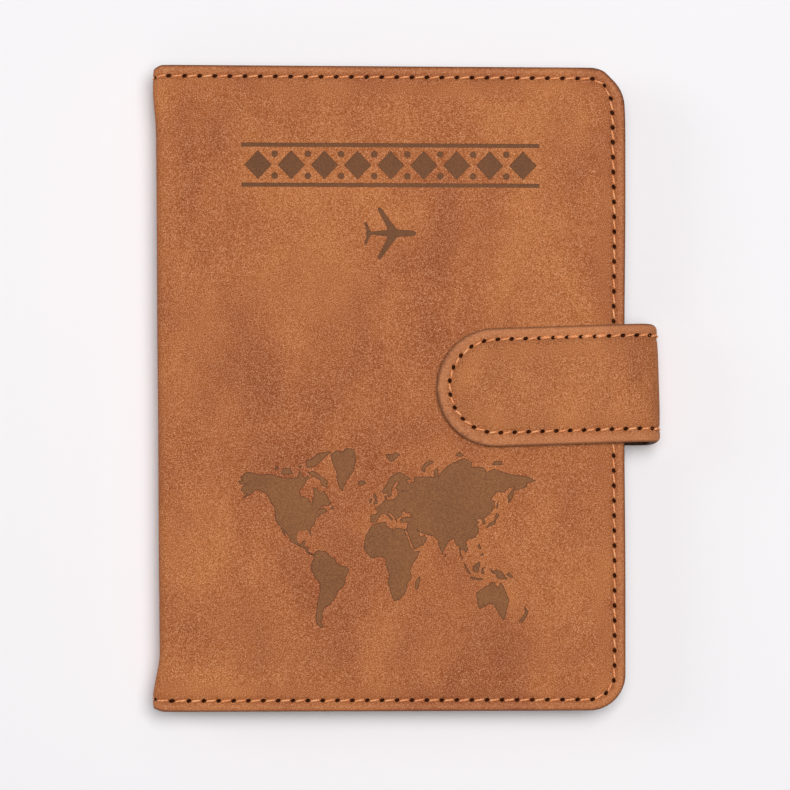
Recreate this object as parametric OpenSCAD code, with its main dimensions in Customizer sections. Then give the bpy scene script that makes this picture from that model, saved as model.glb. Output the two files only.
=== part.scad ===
// Passport holder: two stiffened covers joined by a soft spine, card pockets and a passport sleeve
// inside, and a magnetic strap sewn into the back cover that folds over the fore-edge.
// The holder lies on its back cover: +X runs from the spine to the fore-edge, +Y to the head of the
// cover, +Z up through the front cover. The origin is the centre of the back cover's outer face.

/* [Cover] */
// Width of the closed holder, from the spine to the fore-edge
cover_w = 103; // [98:0.5:110]
// Height of the covers
cover_h = 142; // [136:0.5:150]
// Thickness over both closed covers, without the strap
closed_t = 15; // [14.5:0.1:18]
// Radius of the fore-edge corners
corner_r = 8; // [5:0.5:12]
// Outer radius of the leather where it turns on to the spine
crease_r = 2; // [1.6:0.1:2.4]

/* [Cover layers] */
// Outer leather over the board
skin_t = 1; // [0.8:0.05:1.2]
// Foam sheet under the leather
foam_t = 0.5; // [0.3:0.05:0.6]
// Stiffening board
board_t = 0.9; // [0.7:0.05:1]
// Lining
lining_t = 0.6; // [0.5:0.05:0.7]
// Width of the sewn rim around the board
rim_w = 4; // [3.6:0.1:4.6]

/* [Pockets] */
// Thickness of a pocket panel
panel_t = 0.6; // [0.5:0.05:0.7]
// Slack under a card panel
card_slack = 0.15; // [0.1:0.01:0.2]
// Width of the sewn edge of a pocket panel
hem_w = 4; // [3:0.1:5]
// Height of the top card slot's edge above the middle of the cover
top_slot_y = 30; // [24:1:34]
// Step from one card slot's edge down to the next
slot_step = 14; // [10:1:16]
// Width of the passport sleeve, from the fore-edge
sleeve_w = 62; // [50:1:75]
// Thickness of the passport sleeve
sleeve_t = 0.8; // [0.6:0.05:1]
// Radius of the thumb notch in the sleeve
thumb_r = 9; // [6:0.5:12]

/* [Strap] */
// Width of the strap
strap_w = 26; // [22:0.5:30]
// Thickness of the strap
strap_t = 2.4; // [2.2:0.1:2.6]
// How far the strap bulges past the fore-edge
strap_bulge = 7.5; // [6.5:0.1:9]
// Distance from the fore-edge to the strap's rounded tip, over the front cover
strap_reach = 41.4; // [34:0.2:46]
// Outer radius of the strap's two bends
bend_r = 4; // [3.4:0.1:4.4]
// Slant of the strap across the front cover, in degrees
strap_slant = 1.8; // [0:0.1:2.5]
// Length of the strap's tongue inside the back cover's seam
tongue_l = 14; // [10:0.5:20]
// Diameter of the strap's magnet and of the steel disc under it
magnet_d = 14; // [10:0.5:16]

/* [Stitching] */
// Distance from the cover's edge to its stitching
stitch_inset = 2.4; // [2:0.1:3]
// Distance from the strap's edge to its stitching
strap_stitch_inset = 3; // [2.4:0.1:3.4]
// Length of one stitch of the covers, hole to hole
stitch_pitch = 3.3; // [2.8:0.1:4]
// Length of one stitch of the strap, hole to hole
strap_pitch = 3.05; // [2.8:0.05:4]
// Thickness of the thread
thread_d = 0.45; // [0.4:0.01:0.5]

/* [Hidden] */
$fn = 64;

fit = 0.05;                               // clearance round a piece that lies in a recess
air = 0.1;                                // clearance between pieces that only come close
crease_gap = 0.2;                         // clearance from a cover or spine panel to its crease
over = 1;                                 // overrun of a cutting shape

fore_x = cover_w / 2;
head_y = cover_h / 2;
spine_x = -cover_w / 2;
crease_x = spine_x + crease_r;
plate_x = crease_x + crease_gap;          // spine-side edge of both covers
core_t = foam_t + board_t;
rim_t = skin_t + core_t;                  // sewn rim of the outer leather
cover_t = rim_t + lining_t;

groove_d = 0.3;                           // depth of the stitch groove
groove_w = 0.9;
stitch_gap = 1;                           // from the end of one visible stitch to the next

panel_step = panel_t + card_slack;
hidden_drop = 14;                         // from the head down to the hidden pocket's edge
edge_row_inset = 1.6;                     // from a card slot's edge to its row of stitches
sleeve_slack = 0.3;
sim_x = 12;                               // the SIM patch: its left edge, size, sewn border and
sim_w = 26;                               // rise above the top card slot
sim_h = 17;
sim_border = 1.5;
sim_rise = 5;

steel_t = board_t - air;
magnet_back = 2;                          // from the centre of the round tip to the magnet's
magnet_x = fore_x - strap_reach + strap_w / 2 + magnet_back;

tab_top_z = closed_t + air + strap_t;
wall_x = fore_x + strap_bulge;            // outer face of the strap's bend
bend_x = wall_x - bend_r;
tongue_t = 1;                             // thickness that the tongue is skived to
tongue_low_z = rim_t - tongue_t;
strap_low_z = tongue_low_z + (tongue_t - strap_t) / 2;
layer_t = strap_t / 3;                    // leather, stiffener and lining share the thickness
tip_x = fore_x - strap_reach;
tab_end_x = bend_x - air;
tab_middle_x = tip_x + strap_w / 2;       // centre of the tab's round tip
recess_margin = 1.2;                      // from the strap's stitching to the stiffener's recess
recess_end = 2;                           // from the tab's straight end to the recess
tab_rim = strap_stitch_inset + recess_margin;
tab_y = 1.2;                              // the strap leans up as it comes round: middle of the tab's
wall_y = 0.7;                             // end, of the bend and of the tongue
tongue_y = 0.2;

// ---------- outlines ----------

// A cover, with square corners at the spine and round ones at the fore-edge
module cover_outline(inset = 0, spine_inset = 0) {
    r = corner_r - inset;
    left = plate_x + spine_inset;
    right = fore_x - inset;
    half = head_y - inset;
    translate([left, -half]) square([right - r - left, 2 * half]);
    translate([left, r - half]) square([right - left, 2 * (half - r)]);
    for (side = [-1, 1]) translate([right - r, side * (half - r)]) circle(r);
}

// Lays out the strap's tab, drawn along the X axis, at its slant across the front cover
module slanted() {
    translate([bend_x, tab_y]) rotate(strap_slant) translate([-bend_x, 0]) children();
}

// The strap's tab: a slanted band with a round tip, cut square where the bend begins
module tab_outline(inset = 0, end_inset = 0) {
    r = strap_w / 2 - inset;
    intersection() {
        slanted() {
            translate([tab_middle_x, 0]) circle(r);
            translate([tab_middle_x, -r]) square([bend_x + over - tab_middle_x, 2 * r]);
        }
        translate([tip_x - over, -strap_w])
            square([tab_end_x - end_inset - tip_x + over, 2 * strap_w]);
    }
}

// Turns a cover built outer face down into the front cover
module as_front() {
    translate([0, 0, closed_t]) mirror([0, 0, 1]) children();
}

// ---------- stitches ----------

// Lengths of the seam's runs: along the head, round a corner, down the fore-edge
corner_path_r = corner_r - stitch_inset;
head_run = fore_x - corner_r - plate_x;
corner_run = corner_path_r * PI / 2;
fore_run = cover_h - 2 * corner_r;
seam_l = 2 * head_run + 2 * corner_run + fore_run;
seam_stitches = round(seam_l / stitch_pitch);

// Place and heading of the point a distance s along the seam, up to the middle of the fore-edge
function half_seam(s) =
    s < head_run ? [plate_x + s, head_y - stitch_inset, 0] :
    s < head_run + corner_run ?
        let (a = 90 - (s - head_run) / corner_path_r * 180 / PI)
        [fore_x - corner_r + corner_path_r * cos(a), head_y - corner_r + corner_path_r * sin(a), a - 90] :
    [fore_x - stitch_inset, head_y - corner_r - (s - head_run - corner_run), -90];

// The whole seam: its second half mirrors the first
function seam(s) = s <= seam_l / 2 ? half_seam(s) :
    let (p = half_seam(seam_l - s)) [p[0], -p[1], -p[2]];

module stitch(pitch) {
    l = pitch - stitch_gap;
    translate([-l / 2, -thread_d / 2, 0]) cube([l, thread_d, groove_d - fit]);
}

module seam_stitch_row() {
    for (i = [0 : seam_stitches - 1]) {
        p = seam((i + 0.5) * seam_l / seam_stitches);
        translate([p[0], p[1], 0]) rotate(p[2]) stitch(stitch_pitch);
    }
}

// A straight row of stitches from one point to another
module stitch_row(from, to, pitch) {
    run = norm(to - from);
    count = floor(run / pitch);
    heading = atan2(to[1] - from[1], to[0] - from[0]);
    translate([from[0], from[1], 0]) rotate(heading)
        for (i = [0 : count - 1]) translate([(i + 0.5) * run / count, 0, 0]) stitch(pitch);
}

// ---------- cover layers, outer face at z = 0 ----------

module skin_layer() {
    difference() {
        linear_extrude(rim_t) cover_outline();
        translate([0, 0, skin_t]) linear_extrude(core_t + over) cover_outline(rim_w, rim_w);
        translate([0, 0, -over]) linear_extrude(groove_d + over) difference() {
            cover_outline(stitch_inset - groove_w / 2, -over);
            cover_outline(stitch_inset + groove_w / 2, -2 * over);
        }
    }
}

module foam_layer() {
    translate([0, 0, skin_t]) linear_extrude(foam_t) cover_outline(rim_w + fit, rim_w + fit);
}

module board_layer() {
    translate([0, 0, skin_t + foam_t]) linear_extrude(board_t)
        cover_outline(rim_w + fit, rim_w + fit);
}

module lining_layer() {
    translate([0, 0, rim_t]) linear_extrude(lining_t) cover_outline();
}

// ---------- back cover ----------

// The room that the strap's tongue takes in the seam
module tongue_room() {
    translate([fore_x - tongue_l - fit, tongue_y - strap_w / 2 - fit, tongue_low_z - fit])
        cube([tongue_l + over, strap_w + 2 * fit, rim_t - tongue_low_z + fit + over]);
}

outer_row_inset = 6;                      // from the fore-edge to the first row across the tongue
tongue_margin = 2.5;                      // from the tongue's edges to its rows
tongue_rows = [fore_x - outer_row_inset, fore_x - tongue_l + tongue_margin];
tongue_row_half = strap_w / 2 - tongue_margin;

module back_skin() {
    color("#b06b42") difference() {
        skin_layer();
        tongue_room();
        for (x = tongue_rows)
            translate([x - groove_w / 2, tongue_y - tongue_row_half - groove_w / 2, -over])
                cube([groove_w, 2 * tongue_row_half + groove_w, groove_d + over]);
    }
}

module back_foam() {
    color("#d8d2c4") difference() {
        foam_layer();
        tongue_room();
    }
}

module back_board() {
    color("#8f8d88") difference() {
        board_layer();
        tongue_room();
    }
}

module back_lining() {
    color("#6b4129") lining_layer();
}

// Panel sewn at the head, tail and fore-edge, and open towards the spine
module passport_sleeve() {
    mouth_x = fore_x - sleeve_w;
    color("#a5633c") translate([0, 0, cover_t]) difference() {
        linear_extrude(sleeve_slack + sleeve_t) intersection() {
            cover_outline();
            translate([mouth_x, -cover_h]) square([2 * sleeve_w, 2 * cover_h]);
        }
        translate([0, 0, -over]) linear_extrude(sleeve_slack + over) cover_outline(hem_w, -over);
        translate([mouth_x, 0, -over])
            cylinder(r = thumb_r, h = sleeve_t + sleeve_slack + 2 * over);
    }
}

module back_stitches() {
    color("#e39a68") translate([0, 0, fit]) seam_stitch_row();
}

// The skived end of the strap in the seam, and the short stretch that leaves it
module strap_tongue() {
    color("#b4713f") {
        translate([fore_x - tongue_l, tongue_y - strap_w / 2, tongue_low_z])
            cube([tongue_l + 2 * fit, strap_w, rim_t - tongue_low_z]);
        translate([fore_x + fit, tongue_y - strap_w / 2, strap_low_z])
            cube([bend_x - air - fore_x - fit, strap_w, strap_t]);
    }
}

// Two rows that hold the tongue, seen on the back cover's outer face
module tongue_stitches() {
    color("#e39a68") for (x = tongue_rows) translate([0, 0, fit])
        stitch_row([x, tongue_y - tongue_row_half], [x, tongue_y + tongue_row_half], strap_pitch);
}

// ---------- spine ----------

spine_low_z = crease_r + crease_gap;
spine_high_z = closed_t - crease_r - crease_gap;
spine_in_t = crease_r - skin_t - air;     // lining and strip together
strip_t = 0.5;
strip_inset = 1.5;                        // from the spine panel's long edges to its strip

module spine_slab(x, t, z_inset, y_inset) {
    translate([x, y_inset - head_y, spine_low_z + z_inset])
        cube([t, cover_h - 2 * y_inset, spine_high_z - spine_low_z - 2 * z_inset]);
}

module spine_skin() {
    color("#b06b42") spine_slab(spine_x, skin_t, 0, 0);
}

module spine_strip() {
    color("#8f8d88") spine_slab(spine_x + skin_t, strip_t, strip_inset + fit, rim_w + fit);
}

module spine_lining() {
    color("#6b4129") difference() {
        spine_slab(spine_x + skin_t, spine_in_t, 0, 0);
        spine_slab(spine_x + skin_t - over, over + strip_t + fit / 2, strip_inset, rim_w);
    }
}

// ---------- front cover ----------

module front_skin() {
    color("#b87046") as_front() skin_layer();
}

module front_foam() {
    color("#d8d2c4") as_front() foam_layer();
}

module magnet_place() {
    slanted() translate([magnet_x, 0, 0]) children();
}

module front_board() {
    color("#8f8d88") as_front() difference() {
        board_layer();
        translate([0, 0, skin_t + foam_t - over]) magnet_place()
            cylinder(d = magnet_d + 2 * fit, h = steel_t + fit + over);
    }
}

// Steel disc let into the board: the strap's magnet holds on to it
module steel_disc() {
    color("#c4c6c8") as_front() translate([0, 0, skin_t + foam_t]) magnet_place()
        cylinder(d = magnet_d, h = steel_t);
}

module front_lining() {
    color("#6b4129") as_front() lining_layer();
}

// A cover's outline below the height top_y
module outline_below(top_y, inset = 0) {
    intersection() {
        cover_outline(inset, inset);
        translate([-cover_w, -cover_h]) square([2 * cover_w, cover_h + top_y]);
    }
}

// A pocket panel across the whole cover, open along its top edge; level 0 lies on the lining
module pocket_panel(level, top_y) {
    as_front() translate([0, 0, cover_t + level * panel_step]) difference() {
        linear_extrude(panel_step) outline_below(top_y);
        translate([0, 0, -over]) linear_extrude(card_slack + over) outline_below(top_y + over, hem_w);
    }
}

module hidden_pocket() {
    color("#a5633c") pocket_panel(0, head_y - hidden_drop);
}

module card_slot_top() {
    color("#b06b42") pocket_panel(1, top_slot_y);
}

module card_slot_middle() {
    color("#b06b42") pocket_panel(2, top_slot_y - slot_step);
}

module card_slot_bottom() {
    color("#b06b42") pocket_panel(3, top_slot_y - 2 * slot_step);
}

// Small patch for a SIM card above the card slots
module sim_pocket() {
    color("#b06b42") as_front() translate([sim_x, top_slot_y + sim_rise, cover_t + panel_step])
        difference() {
            cube([sim_w, sim_h, panel_step]);
            translate([sim_border, sim_border, -over])
                cube([sim_w - 2 * sim_border, sim_h, card_slack + over]);
        }
}

module front_stitches() {
    color("#e39a68") as_front() translate([0, 0, fit]) seam_stitch_row();
}

// A row just below the edge of each card slot
module slot_stitches() {
    left = plate_x + hem_w;
    right = fore_x - hem_w;
    color("#e39a68") as_front() for (level = [1 : 3]) {
        y = top_slot_y - (level - 1) * slot_step - edge_row_inset;
        translate([0, 0, cover_t + (level + 1) * panel_step])
            stitch_row([left, y], [right, y], stitch_pitch);
    }
}

// ---------- strap ----------

// One layer of the strap round both bends, between two depths under its outer face
module bend_layer(depth, t) {
    low_c = strap_low_z + bend_r;
    high_c = tab_top_z - bend_r;
    outer = bend_r - depth;
    translate([0, wall_y + strap_w / 2, 0]) rotate([90, 0, 0]) linear_extrude(strap_w) {
        for (c = [[low_c, -1], [high_c, 1]]) translate([bend_x, c[0]]) intersection() {
            difference() {
                circle(outer);
                circle(outer - t);
            }
            translate([0, c[1] > 0 ? 0 : -bend_r]) square(bend_r);
        }
        translate([bend_x + outer - t, low_c]) square([t, high_c - low_c]);
    }
}

module strap_bend_leather() {
    color("#b4713f") bend_layer(0, strap_t / 2);
}

module strap_bend_lining() {
    color("#4a2f22") bend_layer(strap_t / 2, strap_t / 2);
}

// The tab is built outer face down, as the covers are
module as_tab() {
    translate([0, 0, tab_top_z]) mirror([0, 0, 1]) children();
}

module strap_tab_leather() {
    color("#b4713f") as_tab() difference() {
        linear_extrude(2 * layer_t) tab_outline();
        translate([0, 0, layer_t]) linear_extrude(layer_t + over) tab_outline(tab_rim, recess_end);
        translate([0, 0, -over]) linear_extrude(groove_d + over) difference() {
            tab_outline(strap_stitch_inset - groove_w / 2, -over);
            tab_outline(strap_stitch_inset + groove_w / 2, -2 * over);
        }
    }
}

module strap_stiffener() {
    color("#8f8d88") as_tab() translate([0, 0, layer_t]) difference() {
        linear_extrude(layer_t - fit) tab_outline(tab_rim + fit, recess_end + fit);
        translate([0, 0, -over]) magnet_place()
            cylinder(d = magnet_d + 2 * fit, h = layer_t + 2 * over);
    }
}

module strap_magnet() {
    color("#c4c6c8") as_tab() translate([0, 0, layer_t]) magnet_place()
        cylinder(d = magnet_d, h = layer_t - fit);
}

module strap_tab_lining() {
    color("#4a2f22") as_tab() translate([0, 0, 2 * layer_t]) linear_extrude(layer_t) tab_outline();
}

// Two straight rows and a row of stitches round the tip
module strap_stitches() {
    r = strap_w / 2 - strap_stitch_inset;
    row_end_x = tab_end_x - stitch_gap;
    tip_count = round(PI * r / strap_pitch);
    color("#e39a68") as_tab() translate([0, 0, fit]) slanted() {
        for (side = [-1, 1]) stitch_row([tab_middle_x, side * r], [row_end_x, side * r], strap_pitch);
        for (i = [0 : tip_count - 1]) translate([tab_middle_x, 0, 0])
            rotate(90 + (i + 0.5) * 180 / tip_count) translate([r, 0, 0]) rotate(90)
                stitch(strap_pitch);
    }
}

back_skin();
back_foam();
back_board();
back_lining();
passport_sleeve();
back_stitches();
strap_tongue();
tongue_stitches();
spine_skin();
spine_strip();
spine_lining();
front_skin();
front_foam();
front_board();
steel_disc();
front_lining();
hidden_pocket();
card_slot_top();
card_slot_middle();
card_slot_bottom();
sim_pocket();
front_stitches();
slot_stitches();
strap_bend_leather();
strap_bend_lining();
strap_tab_leather();
strap_stiffener();
strap_magnet();
strap_tab_lining();
strap_stitches();
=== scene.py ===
"""A closed passport holder: two sewn covers in tan brushed leathercloth on a soft spine, pockets inside,
and a magnetic strap from the back cover round the fore-edge. Shapes are drawn in millimetres."""
import math

import bmesh
import bpy
from mathutils import Matrix, Vector, noise


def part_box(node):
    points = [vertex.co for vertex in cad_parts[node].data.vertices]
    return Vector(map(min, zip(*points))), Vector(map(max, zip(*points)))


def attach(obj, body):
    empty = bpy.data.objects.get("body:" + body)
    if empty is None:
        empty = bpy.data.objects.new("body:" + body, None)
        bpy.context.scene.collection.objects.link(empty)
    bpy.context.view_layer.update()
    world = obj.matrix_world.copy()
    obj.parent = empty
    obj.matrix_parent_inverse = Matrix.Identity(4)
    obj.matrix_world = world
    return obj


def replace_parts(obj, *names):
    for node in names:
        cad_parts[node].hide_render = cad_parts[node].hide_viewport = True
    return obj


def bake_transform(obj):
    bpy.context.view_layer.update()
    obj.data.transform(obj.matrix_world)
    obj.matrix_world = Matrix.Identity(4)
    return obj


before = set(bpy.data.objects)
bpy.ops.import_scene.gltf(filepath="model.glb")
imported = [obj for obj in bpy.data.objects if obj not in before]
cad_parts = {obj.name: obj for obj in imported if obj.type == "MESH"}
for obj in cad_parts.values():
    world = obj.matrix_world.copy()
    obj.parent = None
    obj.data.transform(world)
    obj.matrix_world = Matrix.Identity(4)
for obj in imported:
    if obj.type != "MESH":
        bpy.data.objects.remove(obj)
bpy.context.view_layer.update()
scene = bpy.context.scene

MM = 0.001


# ------------ sizes, from the frame

def box_mm(node):
    low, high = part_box(node)
    return Vector(low) / MM, Vector(high) / MM


skin_high = box_mm("front_skin")[1]
spine_low = box_mm("spine_skin")[0]
lining_low, lining_high = box_mm("front_lining")
sleeve_low, sleeve_high = box_mm("passport_sleeve")
bend_low, bend_high = box_mm("strap_bend_leather")
tab_low, tab_high = box_mm("strap_tab_leather")
tongue_low = box_mm("strap_tongue")[0]

FORE_X = skin_high.x
HEAD_Y = skin_high.y
TOP_Z = skin_high.z
SPINE_X = spine_low.x
CORNER_R = 8.0
CREASE_R = 2.0                      # outer radius where the leather turns on to the spine
CREASE_X = SPINE_X + CREASE_R
LEATHER_T = 1.0
LINING_T = lining_high.z - lining_low.z
SEAM_INSET = 2.4
SEAM_BAND, SEAM_STEP = 6.6, 0.44    # how wide the mesh is fine beside the seam, and how fine
PITCH = 3.3
THREAD_R = 0.24
MOTIF_D, MOTIF_SHADE_W = 0.28, 0.15     # depth of the pressed motifs, and width of the painted shade at their floors' rims
HOLE_L, HOLE_W = 0.58, 0.44         # half sizes of a needle hole, along and across the row
SLIP = 0.15                         # how far the pockets' outer edges lie inside the covers'
PANEL_BAND, PANEL_STEP = 5, 0.8     # the fine mesh beside a pocket's seam
PANEL_LINE = 6                      # the coarse mesh of the inside panels
PANEL_HOLE_D = 0.4

STRAP_W = bend_high.y - bend_low.y
STRAP_T = 2.4
STRAP_LAYER = STRAP_T / 2
STRAP_INSET = 3.0
STRAP_PITCH = 3.05
BEND_R = 4.0
WALL_X = bend_high.x
STRAP_TOP_Z = tab_high.z
STRAP_LOW_Z = bend_low.z
TIP_X = tab_low.x
SLANT = math.radians(1.8)
TAB_Y, TONGUE_Y = 1.2, 0.2          # the strap's middle line, at the front and at the back


# ------------ small tools

def smoothstep(low, high, x):
    t = min(max((x - low) / (high - low), 0.0), 1.0)
    return t * t * (3 - 2 * t)


def bell(x, width):
    return math.exp(-(x / width) ** 2)


def steps(low, high, gap):
    """Evenly spaced places from low to high, about gap apart, both ends left out."""
    count = max(1, round((high - low) / gap))
    return [low + (high - low) * i / count for i in range(1, count)]


def new_object(name, bm, *materials):
    mesh = bpy.data.meshes.new(name)
    bm.to_mesh(mesh)
    bm.free()
    for material in materials:
        mesh.materials.append(material)
    piece = bpy.data.objects.new(name, mesh)
    scene.collection.objects.link(piece)
    return piece


def bake_modifiers(piece):
    graph = bpy.context.evaluated_depsgraph_get()
    mesh = bpy.data.meshes.new_from_object(piece.evaluated_get(graph), depsgraph=graph)
    piece.modifiers.clear()
    bm = bmesh.new()
    bm.from_mesh(mesh)
    bmesh.ops.remove_doubles(bm, verts=bm.verts, dist=0.003)
    bmesh.ops.dissolve_degenerate(bm, edges=bm.edges, dist=0.001)
    bmesh.ops.holes_fill(bm, edges=[edge for edge in bm.edges if edge.is_boundary], sides=0)
    bm.to_mesh(mesh)
    bm.free()
    piece.data = mesh


def carve(piece, *cutters):
    """Takes the cutters out of the piece; each cut face keeps its cutter's material."""
    for tool in cutters:
        modifier = piece.modifiers.new("cut", "BOOLEAN")
        modifier.operation = "DIFFERENCE"
        modifier.solver = "EXACT"
        modifier.material_mode = "TRANSFER"
        modifier.object = tool
    bake_modifiers(piece)
    for tool in cutters:
        bpy.data.objects.remove(tool)


def shape(piece, place, flip=False, sharp=40):
    """Moves each flat point to where place puts it, in millimetres, and sets smooth and sharp edges."""
    bm = bmesh.new()
    bm.from_mesh(piece.data)
    for vert in bm.verts:
        vert.co = Vector(place(*vert.co)) * MM
    if flip:
        bmesh.ops.reverse_faces(bm, faces=bm.faces)
    bm.normal_update()
    for face in bm.faces:
        face.smooth = True
    for edge in bm.edges:
        edge.smooth = len(edge.link_faces) == 2 and edge.calc_face_angle(0) < math.radians(sharp)
    bm.to_mesh(piece.data)
    bm.free()
    return piece


def paint_rim_shade(piece, material, shade_material, width):
    """Gives the rim of each region of one flat-lying material another, darker material: painted shade
    where the floor meets the walls.
    """
    bm = bmesh.new()
    bm.from_mesh(piece.data)
    bm.normal_update()
    slots = piece.data.materials[:]
    pressed = slots.index(material)
    floor_faces = [face for face in bm.faces if face.material_index == pressed and face.normal.z > 0.9]
    rim = bmesh.ops.inset_region(bm, faces=floor_faces, thickness=width, use_even_offset=True)["faces"]
    for face in rim:
        face.material_index = len(slots)
    bm.to_mesh(piece.data)
    bm.free()
    piece.data.materials.append(shade_material)


def mark(piece, name, value):
    """Writes a number on each flat point, for the material to read."""
    layer = piece.data.attributes.new(name, "FLOAT", "POINT")
    for vert, item in zip(piece.data.vertices, layer.data):
        item.value = value(*vert.co)


def crossing(x1, z1, x2, z2):
    """Where a blend starts and ends, in metres."""
    return dict(start=(x1 * MM, 0, z1 * MM), end=(x2 * MM, 0, z2 * MM))


def belongs(piece, body, slot, *nodes):
    """Sets a finished piece's body, and the nodes it stands for; slot, the finish, is not used."""
    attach(piece, body)
    if nodes:
        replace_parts(piece, *nodes)


# ------------ sheets, cut flat

def grow(bm, faces, way):
    """Extrudes faces and moves the new ones."""
    grown = bmesh.ops.extrude_face_region(bm, geom=faces)["geom"]
    bmesh.ops.translate(bm, vec=way, verts=[v for v in grown if isinstance(v, bmesh.types.BMVert)])


def cut(bm, at, way, trim=False):
    """Cuts the sheet across at a point; trim takes away what lies beyond."""
    bmesh.ops.bisect_plane(bm, geom=bm.verts[:] + bm.edges[:] + bm.faces[:], dist=1e-5, plane_co=at,
                           plane_no=way, clear_outer=trim)


def round_corner(bm, centre, r, side, cuts=12):
    """Trims a corner to a round one; side says which way the corner points."""
    for i in range(cuts):
        a = (i + 0.5) / cuts * math.pi / 2
        way = Vector((side[0] * math.cos(a), side[1] * math.sin(a), 0))
        cut(bm, Vector((*centre, 0)) + way * r, way, trim=True)


def flat_slab(left, right, low, high, thick, across=(), along=(), corners=(), edge_r=0.2,
              square_left=False, square_right=False):
    """A slab of sheet from z = 0 down, cut out flat, with its rims rounded except at a square end."""
    bm = bmesh.new()
    bmesh.ops.create_grid(bm, x_segments=1, y_segments=1, size=0.5)
    bmesh.ops.scale(bm, vec=(right - left, high - low, 1), verts=bm.verts)
    bmesh.ops.translate(bm, vec=((left + right) / 2, (low + high) / 2, 0), verts=bm.verts)
    for way, places in ((Vector((1, 0, 0)), across), (Vector((0, 1, 0)), along)):
        for place in places:
            cut(bm, way * place, way)
    for centre, r, side in corners:
        round_corner(bm, centre, r, side)
    grow(bm, bm.faces[:], (0, 0, -thick))
    bmesh.ops.recalc_face_normals(bm, faces=bm.faces)

    def is_square(face):
        middle = face.calc_center_median().x
        return (square_left and middle < left + 1e-3) or (square_right and middle > right - 1e-3)

    rims = []
    for edge in bm.edges:
        if len(edge.link_faces) == 2:
            flat = [abs(face.normal.z) > 0.9 for face in edge.link_faces]
            if flat[0] != flat[1] and not any(is_square(face) for face in edge.link_faces):
                rims.append(edge)
    bmesh.ops.bevel(bm, geom=rims, offset=edge_r, offset_type="OFFSET", segments=2, profile=0.5,
                    affect="EDGES", clamp_overlap=True, material=-1)
    return bm


def cutter(name, outlines, low, high, material):
    """Upright prisms on the outlines, to carve with."""
    bm = bmesh.new()
    for outline in outlines:
        face = bm.faces.new([bm.verts.new((x, y, low)) for x, y in outline])
        grow(bm, [face], (0, 0, high - low))
    bmesh.ops.recalc_face_normals(bm, faces=bm.faces)
    return new_object(name, bm, material)


# ------------ materials

def srgb(r, g, b):
    """Linear colour of an 8-bit screen colour."""
    return tuple((c / 255 / 12.92) if c <= 10 else ((c / 255 + 0.055) / 1.055) ** 2.4
                 for c in (r, g, b)) + (1.0,)


NAP_MM = 0.20                       # size of the nap's speckles


class Finish:
    """A material under construction: small helpers add and join its nodes."""

    def __init__(self, name, roughness, specular=0.5, metallic=0.0):
        self.material = bpy.data.materials.new(name)
        self.material.use_nodes = True
        self.tree = self.material.node_tree
        self.shader = self.tree.nodes["Principled BSDF"]
        for key, value in (("Roughness", roughness), ("Specular IOR Level", specular),
                           ("Metallic", metallic)):
            self.feed(self.shader.inputs[key], value)
        self.place = self.node("ShaderNodeTexCoord").outputs["Object"]

    def feed(self, socket, value):
        if isinstance(value, bpy.types.NodeSocket):
            self.tree.links.new(value, socket)
        else:
            socket.default_value = value

    def node(self, kind, sockets=None, **values):
        made = self.tree.nodes.new(kind)
        for key, value in values.items():
            setattr(made, key, value)
        for key, value in (sockets or {}).items():
            self.feed(made.inputs[key], value)
        return made

    def turned(self, turn=0.0, stretch=(1, 1, 1)):
        return self.node("ShaderNodeMapping", {
            "Vector": self.place, "Rotation": (0, 0, math.radians(turn)),
            "Scale": stretch}).outputs["Vector"]

    def noise(self, size_mm, detail=2.0, rough=0.5, wander=0.0, place=None):
        return self.node("ShaderNodeTexNoise", {
            "Vector": place or self.place, "Scale": 1 / (size_mm * MM), "Detail": detail,
            "Roughness": rough, "Distortion": wander}).outputs["Fac"]

    def bands(self, way, scale, wander=0.0, place=None):
        return self.node("ShaderNodeTexWave", {
            "Vector": place or self.place, "Scale": scale, "Distortion": wander},
            wave_type="BANDS", bands_direction=way).outputs["Fac"]

    def ramp(self, value, *stops):
        made = self.node("ShaderNodeValToRGB", {"Fac": value})
        for element, (at, colour) in zip(made.color_ramp.elements, stops):
            element.position = at
            element.color = colour
        return made.outputs["Color"]

    def spread(self, value, low, high, to_low=0.0, to_high=1.0):
        return self.node("ShaderNodeMapRange", {
            "Value": value, "From Min": low, "From Max": high, "To Min": to_low,
            "To Max": to_high}).outputs["Result"]

    def mix(self, a, b, amount):
        return self.node("ShaderNodeMix", {0: amount, 6: a, 7: b}, data_type="RGBA").outputs[2]

    def tint(self, colour, name, shade, amount):
        """Turns towards a shade by the number that mark wrote on the points."""
        marked = self.node("ShaderNodeAttribute", attribute_name=name).outputs["Fac"]
        return self.mix(colour, shade, self.spread(marked, 0, 1, 0, amount))

    def bump(self, height, depth_mm, strength=1.0):
        return self.node("ShaderNodeBump", {
            "Strength": strength, "Distance": depth_mm * MM, "Height": height}).outputs["Normal"]

    def done(self, colour, normal=None, roughness=None):
        for value, key in ((colour, "Base Color"), (normal, "Normal"), (roughness, "Roughness")):
            if value is not None:
                self.feed(self.shader.inputs[key], value)
        return self.material


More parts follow.
